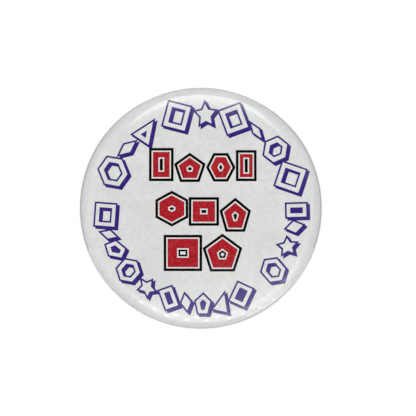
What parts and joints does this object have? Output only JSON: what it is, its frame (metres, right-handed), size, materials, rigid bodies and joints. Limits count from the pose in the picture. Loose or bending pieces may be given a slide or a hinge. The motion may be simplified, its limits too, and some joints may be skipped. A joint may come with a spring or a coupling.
{
  "type": "button badge",
  "caption": "Round pressed-tin button badge: a domed front of printed paper under clear film, a tinplate back plate, and a spring-wire pin that swings open to go through cloth.",
  "frame": {"origin": "on the axis of the pin's arm, in the badge's upright middle plane, where the cloth hangs on the pin", "axes": "the face looks along -Y and the back along +Y; +Z is the top of the design; +X runs along the pin's arm to its point, to the right as seen from the front"},
  "size_m": [0.0572, 0.0099, 0.0572],
  "materials": {
    "tinplate_shell": "plain tinplate, as rolled",
    "printed_paper": "pale speckled paper printed in purple, red and black",
    "clear_film": "clear polyester film, gloss",
    "tinplate_back": "bright tinplate with faint rolling lines",
    "spring_wire": "nickel-plated spring steel wire"
  },
  "bodies": {
    "badge": {"front_shell": "tinplate_shell", "print_disc": "printed_paper", "face_film": "clear_film", "back_plate": "tinplate_back", "pin_leg": "spring_wire", "pin_coil": "spring_wire"},
    "pin": {"pin_arm": "spring_wire"}
  },
  "joints": [
    {"name": "pin_swing", "type": "hinge", "parent": "badge", "child": "pin", "pos_m": [-0.01818, -0.00175, 0.00011], "axis": [0, 0.866, 0.5], "range_deg": [0, 45], "deforming": ["pin_coil"]}
  ]
}
